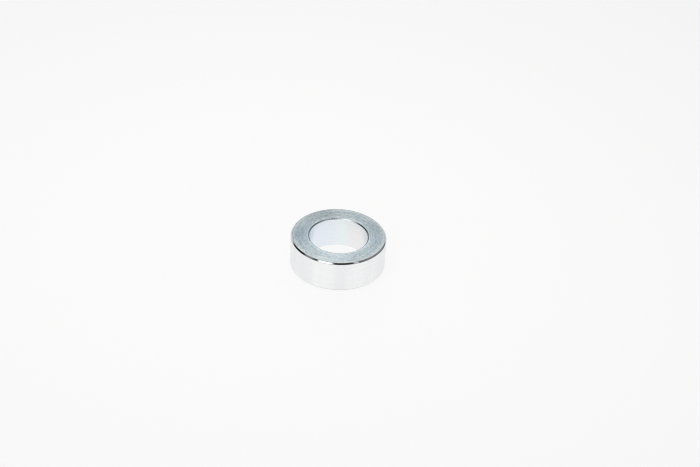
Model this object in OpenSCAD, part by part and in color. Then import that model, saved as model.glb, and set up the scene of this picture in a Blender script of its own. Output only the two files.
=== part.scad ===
// Spacer ring turned from round steel bar and bright zinc plated.
// It is one solid: a plain tube, faced square on both ends, with its outer and bore edges
// broken by small chamfers. Lengths are in millimetres.
// The ring stands on its lower face, with its axis on +Z and the origin at that face's centre.

/* [Ring] */
// Outside diameter
outer_d = 20; // [16:0.1:40]
// Bore diameter, which slides on a 12 mm axle
bore_d = 12.2; // [5:0.1:14]
// Length between the two end faces
ring_length = 6.9; // [2:0.1:40]

/* [Edges] */
// Width of the 45 degree chamfer on the outer edge of each end
outer_chamfer = 0.3; // [0.1:0.05:0.5]
// Width of the 45 degree chamfer on the bore edge of each end
bore_chamfer = 0.2; // [0.05:0.05:0.4]

/* [Hidden] */
outer_r = outer_d / 2;
bore_r = bore_d / 2;
zinc_colour = [0.69, 0.74, 0.76];
$fn = 128;

// Half section of the ring: [distance from the axis, height], anticlockwise from the lower bore edge
function ring_section() = [
    [bore_r + bore_chamfer, 0],
    [outer_r - outer_chamfer, 0],
    [outer_r, outer_chamfer],
    [outer_r, ring_length - outer_chamfer],
    [outer_r - outer_chamfer, ring_length],
    [bore_r + bore_chamfer, ring_length],
    [bore_r, ring_length - bore_chamfer],
    [bore_r, bore_chamfer],
];

// The whole spacer, as its section swept once around the axis
module spacer() {
    color(zinc_colour)
        rotate_extrude()
            polygon(ring_section());
}

spacer();
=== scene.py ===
"""Spacer ring turned from steel bar and bright zinc plated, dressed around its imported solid.

The ring is one lathe surface with real tool marks on its end faces and slightly rounded edges.
It carries five finishes: faced ends, drawn outside, bored inside, outer edge breaks and bore mouths.
Lengths are in metres. The front of the ring, towards the camera, is -Y, and its right is +X.
"""
import math

import bpy
import numpy as np
from mathutils import Matrix, Quaternion, Vector


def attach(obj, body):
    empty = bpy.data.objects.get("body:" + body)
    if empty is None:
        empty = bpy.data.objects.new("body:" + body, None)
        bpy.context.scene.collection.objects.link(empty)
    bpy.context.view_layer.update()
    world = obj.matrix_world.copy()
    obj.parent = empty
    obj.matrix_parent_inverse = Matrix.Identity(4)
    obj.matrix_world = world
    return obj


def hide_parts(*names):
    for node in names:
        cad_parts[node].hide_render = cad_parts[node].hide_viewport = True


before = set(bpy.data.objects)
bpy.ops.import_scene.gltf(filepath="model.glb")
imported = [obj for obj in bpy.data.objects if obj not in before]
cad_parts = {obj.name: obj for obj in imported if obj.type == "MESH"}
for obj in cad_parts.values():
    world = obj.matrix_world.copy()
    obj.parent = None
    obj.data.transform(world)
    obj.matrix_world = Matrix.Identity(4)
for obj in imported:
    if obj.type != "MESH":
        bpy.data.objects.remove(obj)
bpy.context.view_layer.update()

MM = 0.001
MICRON = 0.001 * MM
NODE = "spacer"

# Lathe surface
SEGMENTS = 320             # quads around the ring
RIM_ROUND = 0.05 * MM      # length that the rounding of an outer edge takes off its two neighbours
MOUTH_ROUND = 0.07 * MM    # the same at a bore mouth
EDGE_STEPS = 5             # quads across one rounded edge
SUPPORT_SHARE = 0.3        # furthest that a support point lies into its stretch, as a share of it
FEED = 0.20 * MM           # distance between two tool marks on an end face
MARK_DEPTH = 3.0 * MICRON
MARK_STEPS = 4             # quads across one tool mark

# Wear of the plate, and painted highlight and shade on the end faces
RIM_WIDTH = 1.2 * MM       # band along each rim of an end face, painted lighter as a highlight
EDGE_WIDTH = 0.25 * MM     # line of painted shade along the inner edge of an end face
NICK_WIDTH = 0.13 * MM     # nicks on an end face
BRIGHT_NICK = 0.55 * MM    # length of a bright nick
DARK_NICK = 0.50 * MM      # length of a dark nick
WALL_NICK_WIDTH = 0.07 * MM
WALL_NICK = 0.9 * MM       # length of a nick on the outside
SHADED_SPOT = (-8.3, -0.6)   # middle of a darker, bluer spot of painted shade on the upper face, in millimetres
SHADED_SPOT_REACH = 4.5           # how far it reaches, in millimetres

# Painted reflections along the outside: angle from +X and half width, in degrees, and change of tone
PAINTED_WALL_REFLECTIONS = ((220, 20, -0.1), (254, 16, 0.25), (279, 12, -0.1), (342, 20, -0.2))

# Table
TABLE_RADIUS = 1.2
TABLE_SPOKES = 96          # points around the table
TABLE_RINGS = 24           # points from its middle to its rim
TABLE_DROP = 0.01 * MM     # how far it lies under the ring's foot
TABLE_GLOW = 0.812
GLOW_CENTRE = (-15 * MM, 0, 0)
GLOW_REACH = 237 * MM      # distance from there at which half of the extra glow is left

# Dark flag: half widths of its full dark and of the whole band, across the curve that it follows
FLAG_CORE = 0.24
FLAG_EDGE = 0.36

# Lamps: bearing, elevation, half width of the full light and half width to its end, in degrees, and radiance
LAMPS = ((-33.5, 51.5, 9, 15, 2.2), (-76, 40, 5, 11, 0.42), (53, 47.5, 3, 6, 1.0))

# Camera, as the photograph's edges give it
FRAME_W, FRAME_H = 700, 467
RING_PIXEL = (337.14, 261.97)   # where the centre of the ring's foot lies in the frame
CAMERA_DISTANCE = 309 * MM
CAMERA_ELEVATION = math.radians(36.4)
CAMERA_ROLL = math.radians(-3.2)
LENS_MM = 75.33
SENSOR_MM = 36.0


class Field:
    """A value that varies over a surface or over the sky; arithmetic on it adds Math nodes."""

    def __init__(self, nodes, socket):
        self.nodes = nodes
        self.socket = socket

    def math(self, operation, first, second):
        return self.nodes.add("ShaderNodeMath", {"operation": operation}, {0: first, 1: second})

    def __add__(self, other):
        return self.math("ADD", self, other)

    def __sub__(self, other):
        return self.math("SUBTRACT", self, other)

    def __rsub__(self, other):
        return self.math("SUBTRACT", other, self)

    def __mul__(self, other):
        return self.math("MULTIPLY", self, other)

    def __rtruediv__(self, other):
        return self.math("DIVIDE", other, self)

    def __pow__(self, other):
        return self.math("POWER", self, other)

    __radd__ = __add__
    __rmul__ = __mul__


class Nodes:
    """The node tree of one finish, or of the studio's light, while it is being built."""

    def __init__(self, tree):
        self.tree = tree
        tree.nodes.clear()

    def add(self, kind, settings=(), sockets=(), output=0):
        """Adds a node, sets its settings and then its sockets, and returns one of its outputs."""
        made = self.tree.nodes.new(kind)
        for name, value in dict(settings).items():
            setattr(made, name, value)
        for name, value in dict(sockets).items():
            if isinstance(value, Field):
                self.tree.links.new(value.socket, made.inputs[name])
            else:
                made.inputs[name].default_value = value
        return Field(self, made.outputs[output]) if len(made.outputs) else None

    def vector(self, operation, first, second=(0, 0, 0), output="Vector"):
        """Vector maths on one or two vectors; output is Value where the result is a number."""
        return self.add("ShaderNodeVectorMath", {"operation": operation}, {0: first, 1: second}, output)

    def scaled(self, vector, factor):
        """A vector or a colour times a number."""
        return self.add("ShaderNodeVectorMath", {"operation": "SCALE"}, {"Vector": vector, "Scale": factor})

    def smooth(self, value, start, end):
        """0 below start, 1 above end, with an S curve between; start may be the larger one."""
        return self.add("ShaderNodeMapRange", {"interpolation_type": "SMOOTHSTEP"},
                        {"Value": value, "From Min": start, "From Max": end})

    def noise(self, vector, detail=2.0, roughness=0.5, scale=1.0):
        """Soft noise from about -0.3 to 0.3, with its mean at 0."""
        return self.add("ShaderNodeTexNoise", {}, {
            "Vector": vector, "Scale": scale, "Detail": detail, "Roughness": roughness}, "Fac") - 0.5

    def blend(self, share, low, high, mode="MIX"):
        """Colour that goes from low to high as share goes from 0 to 1, or by MULTIPLY to their product."""
        return self.add("ShaderNodeMix", {"data_type": "RGBA", "blend_type": mode},
                        {0: share, 6: low, 7: high}, 2)

    def bump(self, height, depth):
        """Normals of a relief that rises by depth as height grows by 1."""
        return self.add("ShaderNodeBump", {}, {"Height": height, "Distance": depth})


def rgb(red, green, blue):
    return (red, green, blue, 1.0)


def placed(name, data):
    """A new object in the scene, at the origin, that holds a mesh or a camera."""
    made = bpy.data.objects.new(name, data)
    bpy.context.scene.collection.objects.link(made)
    return made


def ring_sizes():
    """The ring's radii and length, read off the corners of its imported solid."""
    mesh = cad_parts[NODE].data
    corners = np.empty(len(mesh.vertices) * 3, np.float32)
    mesh.vertices.foreach_get("co", corners)
    x, y, z = corners.reshape(-1, 3).astype(float).T
    radius = np.hypot(x, y)
    upper_face = radius[z > z.max() - MICRON]
    return {"outer": radius.max(), "bore": radius.min(), "length": z.max(),
            "face_outer": upper_face.max(), "face_inner": upper_face.min()}


SIZE = ring_sizes()

# Finishes, in the order of the ring's materials
RIM, FACE, OUTSIDE, BORE, MOUTH = range(5)


def ring_section():
    """Closed half section of the ring, anticlockwise from the lower bore edge, and each step's finish.

    Eight straight stretches join eight corners. Each corner is replaced by the parabola that has the
    corner as its control point and leaves both stretches at the edge's rounding from it. Along an end
    face the height falls below the face by a scallop: with t going from -1 to 1 across a tool mark, it
    is the mark's depth times 1 - t t. A support point next to every rounded edge keeps the shading of
    the flats flat.
    """
    length, outer, bore = SIZE["length"], SIZE["outer"], SIZE["bore"]
    face_outer, face_inner = SIZE["face_outer"], SIZE["face_inner"]
    outer_break = outer - face_outer
    bore_break = face_inner - bore
    corners = np.array([
        (face_inner, 0), (face_outer, 0), (outer, outer_break), (outer, length - outer_break),
        (face_outer, length), (face_inner, length), (bore, length - bore_break), (bore, bore_break),
    ])
    stretches = [FACE, RIM, OUTSIDE, RIM, FACE, MOUTH, BORE, MOUTH]
    edges = [MOUTH, RIM, RIM, RIM, RIM, MOUTH, MOUTH, MOUTH]
    rounds = [MOUTH_ROUND if edge == MOUTH else RIM_ROUND for edge in edges]
    after = np.roll(corners, -1, 0) - corners
    after /= np.linalg.norm(after, axis=1, keepdims=True)
    before = np.roll(after, 1, 0)
    share = np.linspace(0, 1, EDGE_STEPS + 1)[:, None]
    points = []
    kinds = []
    for i, finish in enumerate(stretches):
        following = (i + 1) % len(corners)
        rounded = corners[i] + rounds[i] * (share ** 2 * after[i] - (1 - share) ** 2 * before[i])
        start = corners[i] + rounds[i] * after[i]
        end = corners[following] - rounds[following] * after[i]
        if finish == FACE:
            marks = round(abs(end[0] - start[0]) / FEED)
            along = np.linspace(0, 1, marks * MARK_STEPS + 1)[1:-1, None]
            stretch = start + (end - start) * along
            scallop = 1 - (2 * np.mod(along[:, 0] * marks, 1) - 1) ** 2
            stretch[:, 1] += np.where(start[1] > length / 2, -1, 1) * MARK_DEPTH * scallop
        else:
            support = min(RIM_ROUND / np.linalg.norm(end - start), SUPPORT_SHARE)
            stretch = start + (end - start) * np.array([[support], [1 - support]])
        points += [rounded, stretch]
        kinds += [[edges[i]] * EDGE_STEPS, [finish] * (len(stretch) + 1)]
    return np.concatenate(points), np.concatenate(kinds)


def turned_ring():
    """The ring's surface: the section carried once around the axis.

    Point (i, j) is section point j turned about Z by i steps of a full turn. Both directions close on
    themselves, so the quads join each step to the next one and the last to the first.
    """
    section, kinds = ring_section()
    count = len(section)
    angle = np.arange(SEGMENTS)[:, None] * (2 * math.pi / SEGMENTS)
    radius, height = section.T
    heights = np.broadcast_to(height, (SEGMENTS, count))
    points = np.stack([radius * np.cos(angle), radius * np.sin(angle), heights], 2)
    i, j = np.meshgrid(np.arange(SEGMENTS), np.arange(count), indexing="ij")
    next_i = (i + 1) % SEGMENTS
    next_j = (j + 1) % count
    quads = np.stack([i * count + j, next_i * count + j, next_i * count + next_j, i * count + next_j], 2)
    mesh = bpy.data.meshes.new("turned_ring")
    mesh.from_pydata(points.reshape(-1, 3), [], quads.reshape(-1, 4))
    for finish in (rim_finish(), faced_finish(), drawn_finish(), bored_finish(), mouth_finish()):
        mesh.materials.append(finish)
    mesh.polygons.foreach_set("material_index", np.tile(kinds, SEGMENTS).astype(np.int32))
    mesh.shade_smooth()
    mesh.validate()
    ring = placed("turned_ring", mesh)
    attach(ring, "root")
    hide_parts(NODE)


class Plate(Nodes):
    """Zinc plate on one kind of machined surface, with the ring's own directions to draw it by."""

    def __init__(self, name):
        self.material = bpy.data.materials.new(name)
        self.material.use_nodes = True
        super().__init__(self.material.node_tree)
        self.place = self.add("ShaderNodeTexCoord", output="Object")
        flat = self.vector("MULTIPLY", self.place, (1, 1, 0))
        self.radius = self.vector("LENGTH", flat, output="Value")
        self.bearing = self.vector("NORMALIZE", flat)
        self.height = self.add("ShaderNodeSeparateXYZ", {}, {0: self.place}, "Z")

    def swept(self, around, along, density):
        """Coordinates that turn with the ring: around sets how fast they change with the bearing,
        density how fast they change with along, which is the radius or the height."""
        lift = self.add("ShaderNodeCombineXYZ", {}, {"Z": along * density})
        return self.vector("ADD", self.scaled(self.bearing, around), lift)

    def leaning(self, width, length, lean):
        """Coordinates on a round wall for marks of that width and length, which lean from the axis.
        The bearing is turned on as the height grows, by the lean's tangent over the wall's radius."""
        twist = math.tan(math.radians(lean)) / SIZE["outer"]
        turned = self.add("ShaderNodeVectorRotate", {"rotation_type": "Z_AXIS"},
                          {"Vector": self.bearing, "Angle": self.height * twist})
        lift = self.add("ShaderNodeCombineXYZ", {}, {"Z": self.height * (1 / length)})
        return self.vector("ADD", self.scaled(turned, SIZE["outer"] / width), lift)

    def lying(self, width, length, turn):
        """Coordinates on an end face for straight marks of that width and length, turned from X."""
        return self.add("ShaderNodeMapping", {"vector_type": "TEXTURE"}, {
            "Vector": self.place, "Rotation": (0, 0, math.radians(turn)), "Scale": (length, width, width)})

    def nicks(self, layouts, start, end):
        """Short fine marks, as tumbling in the plating barrel leaves them: the peaks of stretched noise."""
        peaks = [self.smooth(self.noise(layout, 1.0), start, end) for layout in layouts]
        return sum(peaks[1:], peaks[0])

    def patch(self, x, y, reach):
        """1 at a point of the upper face, in millimetres, falling to 0 at reach from it."""
        away = self.vector("DISTANCE", self.place, (x * MM, y * MM, SIZE["length"]), "Value")
        return self.smooth(away, reach * MM, 0)

    def facing(self, angle):
        """Cosine of the turn from an angle around the ring, which is in degrees from +X."""
        turn = math.radians(angle)
        return self.vector("DOT_PRODUCT", self.bearing, (math.cos(turn), math.sin(turn), 0), "Value")

    def band(self, angle, half_width):
        """1 at an angle around the ring, from +X, falling to 0 at half_width from it, in degrees."""
        return self.smooth(self.facing(angle), math.cos(math.radians(half_width)), 1)

    def finish(self, colour, roughness, normal, anisotropic=0.0, grazing=1.0):
        """Closes the material with a metal whose grain, where it has one, runs around the ring.
        Below 1, grazing darkens what it mirrors at a shallow angle."""
        shader = self.add("ShaderNodeBsdfPrincipled", {}, {
            "Base Color": colour, "Metallic": 1.0, "Roughness": roughness, "Normal": normal,
            "Anisotropic": anisotropic, "Anisotropic Rotation": 0.25,
            "Specular Tint": rgb(grazing, grazing, grazing)})
        self.add("ShaderNodeOutputMaterial", {}, {"Surface": shader})
        return self.material


def faced_finish():
    """End faces: turned and then tumbled, so their plate shows tool lines, broken streaks and nicks.

    The tone is a sum of fine tool lines, wider rings, short streaks around the axis, soft clouds and nicks,
    and a slow change of hue lies over it. Painted reflection tints the sides and the shaded spot bluer. The
    shade is painted light and shade: lighter towards the front, in a band at the back and as a painted
    highlight along both rims, and darker at the sides, along the inner edge and in the shaded spot. The
    colour times the shade is kept from growing past the plate's lightest tint.
    """
    plate = Plate("zinc_faced")
    lines = plate.noise(plate.swept(0.8, plate.radius, 9000), 2.0, 0.6)
    rings = plate.noise(plate.swept(1.5, plate.radius, 2600))
    streaks = plate.noise(plate.swept(7, plate.radius, 3200), 5.0, 0.66)
    grain = plate.noise(plate.place, 3.0, 0.6, scale=3000)
    clouds = plate.noise(plate.place, scale=420)
    bright = plate.nicks([plate.lying(NICK_WIDTH, BRIGHT_NICK, turn) for turn in (20, 140)]
                         + [plate.swept(15, plate.radius, 3200)], 0.08, 0.23)
    dark = plate.nicks([plate.lying(NICK_WIDTH, DARK_NICK, turn) for turn in (50, 110)]
                       + [plate.swept(13, plate.radius, 2900)], 0.08, 0.23)
    tone = 0.5 + 1.3 * lines + 1.4 * rings + 2.0 * streaks + 0.4 * clouds + 0.60 * bright - 0.64 * dark
    colour = plate.blend(tone, rgb(0.50, 0.595, 0.655), rgb(0.89, 0.99, 1.0))

    # The hue is read elsewhere in the noise, so that it doesn't follow the clouds
    hue = plate.noise(plate.vector("ADD", plate.place, (0.05, 0.02, 0)), 1.0, scale=330)
    colour = plate.blend(0.25 * plate.smooth(hue, 0.02, 0.25), colour, rgb(0.68, 0.82, 0.79))
    colour = plate.blend(0.3 * plate.smooth(hue, -0.02, -0.25), colour, rgb(0.74, 0.79, 0.90))

    side = plate.facing(0)
    spot = plate.patch(*SHADED_SPOT, SHADED_SPOT_REACH)
    inner_rim = plate.smooth(plate.radius, SIZE["face_inner"] + RIM_WIDTH, SIZE["face_inner"])
    outer_rim = plate.smooth(plate.radius, SIZE["face_outer"] - RIM_WIDTH, SIZE["face_outer"])
    edge = plate.smooth(plate.radius, SIZE["face_inner"] + EDGE_WIDTH, SIZE["face_inner"])
    # Painted reflection makes the sides and the shaded spot bluer.
    colour = plate.blend(0.3 * side * side + 0.4 * spot, colour, rgb(0.77, 0.87, 0.96), "MULTIPLY")
    colour = plate.blend(outer_rim, colour, rgb(1, 0.945, 0.895), "MULTIPLY")
    # The shade is painted light and shade: painted highlight towards the front, at the back and along the
    # rims, painted shade at the sides, along the inner edge and in the shaded spot.
    shade = (0.83 + 0.14 * plate.facing(262) + 0.08 * plate.band(262, 28) + 0.14 * plate.band(68, 42)
             + 0.22 * inner_rim + 0.18 * outer_rim - 0.03 * side * side - 0.08 * edge - 0.14 * spot)
    lightest = (0.90, 0.975, 1.0)
    colour = plate.vector("MINIMUM", plate.scaled(colour, shade), lightest)
    roughness = 0.40 + 0.2 * streaks + 0.2 * grain - 0.1 * bright
    relief = 0.1 * lines + 0.4 * streaks + 0.8 * grain - 0.15 * dark + 0.1 * bright
    return plate.finish(colour, roughness, plate.bump(relief, 80 * MICRON), anisotropic=0.55)


def drawn_finish():
    """Outside: smooth drawn bar, with bands and hair lines along the axis, fine rings and a few nicks; some
    bands are painted reflections.
    """
    plate = Plate("zinc_drawn")
    lines = plate.noise(plate.swept(42, plate.height, 110), 5.0, 0.75)
    rings = plate.noise(plate.swept(1.2, plate.height, 9000))
    leans = (-55, 15, 65)
    nicks = plate.nicks([plate.leaning(WALL_NICK_WIDTH, WALL_NICK, lean) for lean in leans], 0.22, 0.32)
    bands = plate.noise(plate.swept(2.6, plate.height, 25))
    # The listed bands are painted reflections, lighter or darker, laid over the random bands.
    for angle, half_width, change in PAINTED_WALL_REFLECTIONS:
        bands = bands + change * plate.band(angle, half_width)
    tone = 0.55 + bands + 0.4 * lines + 0.9 * rings - 0.3 * nicks
    colour = plate.blend(tone, rgb(0.80, 0.82, 0.84), rgb(0.96, 0.965, 0.955))
    roughness = 0.22 + 0.1 * lines + 0.1 * rings + 0.1 * nicks
    relief = 0.5 * lines + 0.4 * rings - 0.6 * nicks
    return plate.finish(colour, roughness, plate.bump(relief, 3 * MICRON), grazing=0.93)


def bored_finish():
    """Bore: smooth, with the fine rings that a boring tool leaves around it. Painted reflections make it
    bluer on the left and warmer on the right, and painted shade makes it darker at both sides."""
    plate = Plate("zinc_bored")
    rings = plate.noise(plate.swept(1.5, plate.height, 7000), 4.0, 0.65)
    bands = plate.noise(plate.swept(2.2, plate.height, 40))
    side = plate.facing(0)
    right = side + 0.5 * bands
    # Painted reflections: bluer on the left, warmer on the right; then painted shade at both sides.
    colour = plate.blend(plate.smooth(right, -0.5, 0), rgb(0.875, 0.925, 0.985), rgb(0.89, 0.955, 0.965))
    colour = plate.blend(plate.smooth(right, 0.1, 0.55), colour, rgb(0.93, 0.92, 0.925))
    colour = plate.blend(plate.smooth(side * side, 0.6, 1), colour, rgb(0.85, 0.885, 0.915), "MULTIPLY")
    colour = plate.blend(0.5 + 1.5 * rings, plate.scaled(colour, 0.92), colour)
    roughness = 0.24 + 0.2 * rings
    return plate.finish(colour, roughness, plate.bump(rings, 3 * MICRON))


def rim_finish():
    """Outer edge breaks: rubbed bare in the barrel, so they are smooth and show the darker steel."""
    plate = Plate("zinc_rim")
    chatter = plate.noise(plate.swept(30, plate.height, 500), 3.0)
    lines = plate.noise(plate.swept(2, plate.radius, 14000))
    colour = plate.blend(0.5 + 1.4 * chatter, rgb(0.50, 0.52, 0.535), rgb(0.64, 0.65, 0.66))
    roughness = 0.12 + 0.06 * chatter + 0.06 * lines
    return plate.finish(colour, roughness, plate.bump(0.6 * chatter + 0.4 * lines, 1.5 * MICRON))


def mouth_finish():
    """Bore mouths: cut by a coarse tool. The upper one is dark in most places, with painted shade darkest on
    the right, and light satin at the back that is wear and a painted highlight; the lower one is rubbed all
    round."""
    plate = Plate("zinc_mouth")
    chatter = plate.noise(plate.swept(40, plate.height, 900), 4.0, 0.65)
    lower = plate.smooth(plate.height, 0.6 * SIZE["length"], 0.4 * SIZE["length"])
    # Wear and a painted highlight: light satin at the back of the upper mouth; the lower mouth is rubbed all
    # round.
    highlight_and_wear = plate.band(73, 28) + 0.55 * plate.band(103, 40) + lower
    rubbed = plate.smooth(highlight_and_wear + 0.4 * chatter, 0.05, 1.0)
    colour = plate.blend(0.5 + 1.5 * chatter, rgb(0.26, 0.305, 0.325), rgb(0.40, 0.445, 0.465))
    # Painted shade, darkest on the right.
    colour = plate.blend(0.6 * plate.band(3, 30), colour, rgb(0.12, 0.14, 0.15))
    colour = plate.blend(rubbed, colour, rgb(0.82, 0.85, 0.86))
    roughness = 0.18 + 0.1 * chatter + 0.16 * rubbed
    return plate.finish(colour, roughness, plate.bump(chatter, 3 * MICRON))


def table_finish():
    """Pale table that mostly glows by itself: with d the distance from the glow's centre over its reach,
    its level is 0.78 + 0.22 / (1 + d d), and a little more inside the bore."""
    material = bpy.data.materials.new("pale_table")
    material.use_nodes = True
    nodes = Nodes(material.node_tree)
    place = nodes.add("ShaderNodeTexCoord", output="Object")
    away = nodes.vector("DISTANCE", place, GLOW_CENTRE, "Value")
    from_axis = nodes.vector("LENGTH", place, output="Value")
    inside = nodes.smooth(from_axis, SIZE["outer"], SIZE["bore"] / 2)
    level = 0.78 + 0.22 / (1 + (away * (1 / GLOW_REACH)) ** 2) + 0.025 * inside
    shader = nodes.add("ShaderNodeBsdfPrincipled", {}, {
        "Base Color": nodes.scaled((0.2, 0.2, 0.2), level),
        "Emission Color": nodes.scaled((1, 0.997, 0.9965), level),
        "Emission Strength": TABLE_GLOW, "Roughness": 0.6, "Specular IOR Level": 0.2})
    nodes.add("ShaderNodeOutputMaterial", {}, {"Surface": shader})
    return material


def floor():
    """A round table top: circles of points whose radii grow as a square, and one face in their middle."""
    turn = np.arange(TABLE_SPOKES)[:, None] * (2 * math.pi / TABLE_SPOKES)
    out = np.linspace(0.02, 1, TABLE_RINGS) ** 2 * TABLE_RADIUS
    heights = np.full((TABLE_SPOKES, TABLE_RINGS), -TABLE_DROP)
    points = np.stack([out * np.cos(turn), out * np.sin(turn), heights], 2)
    i, j = np.meshgrid(np.arange(TABLE_SPOKES), np.arange(TABLE_RINGS - 1), indexing="ij")
    here = i * TABLE_RINGS + j
    beside = (i + 1) % TABLE_SPOKES * TABLE_RINGS + j
    quads = np.stack([here, here + 1, beside + 1, beside], 2)
    middle = list(range(0, TABLE_SPOKES * TABLE_RINGS, TABLE_RINGS))
    mesh = bpy.data.meshes.new("table_top")
    mesh.from_pydata(points.reshape(-1, 3), [], quads.reshape(-1, 4).tolist() + [middle])
    mesh.materials.append(table_finish())
    placed("table_top", mesh)


def towards(bearing, elevation):
    """Unit vector at a bearing from the front, positive to the right, and at an elevation, in degrees."""
    turn, rise = math.radians(bearing), math.radians(elevation)
    return Vector((math.sin(turn) * math.cos(rise), -math.cos(turn) * math.cos(rise), math.sin(rise)))


def studio_light():
    """A white dome, dimmer towards its top, with a dark flag in an arch above the camera and three lamps.

    The flag draws the ring's edges, as a dark card does beside a bright piece in a studio. With s and c the
    sine and cosine of the camera's elevation, the outer edge breaks, which lean by 45 degrees, mirror to
    the camera the directions with y = c - z s / c - z z / c, and the flag is a band along that curve. It is
    dark on the left, grey on the right, and ends above the table. The lamps stand on it.
    """
    world = bpy.data.worlds.new("studio")
    world.use_nodes = True
    sky = Nodes(world.node_tree)
    ray = sky.add("ShaderNodeTexCoord", output="Generated")
    right, depth, rise = (sky.add("ShaderNodeSeparateXYZ", {}, {0: ray}, axis) for axis in "XYZ")
    colour = sky.blend(sky.smooth(rise, 0, 1), rgb(1.12, 1.12, 1.12), rgb(0.60, 0.605, 0.61))

    sine, cosine = math.sin(CAMERA_ELEVATION), math.cos(CAMERA_ELEVATION)
    aside = depth - cosine + (sine / cosine) * rise + (1 / cosine) * (rise * rise)
    band = sky.smooth(aside * aside, FLAG_EDGE ** 2, FLAG_CORE ** 2)
    above_table = sky.smooth(rise + 0.1 * right, 0.1, 0.24)
    card = sky.blend(sky.smooth(right, 0.5, 0.8), rgb(0.03, 0.031, 0.032), rgb(0.30, 0.305, 0.31))
    colour = sky.blend(band * above_table, colour, card)

    for bearing, elevation, core, edge, radiance in LAMPS:
        nearness = sky.vector("DOT_PRODUCT", ray, towards(bearing, elevation), "Value")
        mask = sky.smooth(nearness, math.cos(math.radians(edge)), math.cos(math.radians(core)))
        colour = sky.blend(mask, colour, rgb(radiance, radiance, radiance))
    glow = sky.add("ShaderNodeBackground", {}, {"Color": colour})
    sky.add("ShaderNodeOutputWorld", {}, {"Surface": glow})
    bpy.context.scene.world = world


def camera():
    """The photograph's camera: the foot of the ring falls on RING_PIXEL, in a slightly turned frame."""
    data = bpy.data.cameras.new("camera")
    data.lens = LENS_MM
    data.sensor_width = SENSOR_MM
    data.clip_start = 0.01
    data.clip_end = 10
    back = towards(0, math.degrees(CAMERA_ELEVATION))
    right = Vector((1, 0, 0))
    upright = Matrix((right, back.cross(right), back)).transposed().to_quaternion()
    roll = Quaternion((0, 0, 1), -CAMERA_ROLL)
    focal = LENS_MM / SENSOR_MM * FRAME_W
    sight = Vector((RING_PIXEL[0] - FRAME_W / 2, FRAME_H / 2 - RING_PIXEL[1], -focal))
    aside = Vector((0, 0, -1)).rotation_difference(sight)
    eye = placed("camera", data)
    eye.rotation_mode = "QUATERNION"
    eye.rotation_quaternion = upright @ roll @ aside.inverted()
    eye.location = back * CAMERA_DISTANCE
    bpy.context.scene.camera = eye


camera()
turned_ring()
floor()
studio_light()
bpy.context.scene.view_settings.view_transform = "Standard"
bpy.context.scene.cycles.filter_width = 1.0
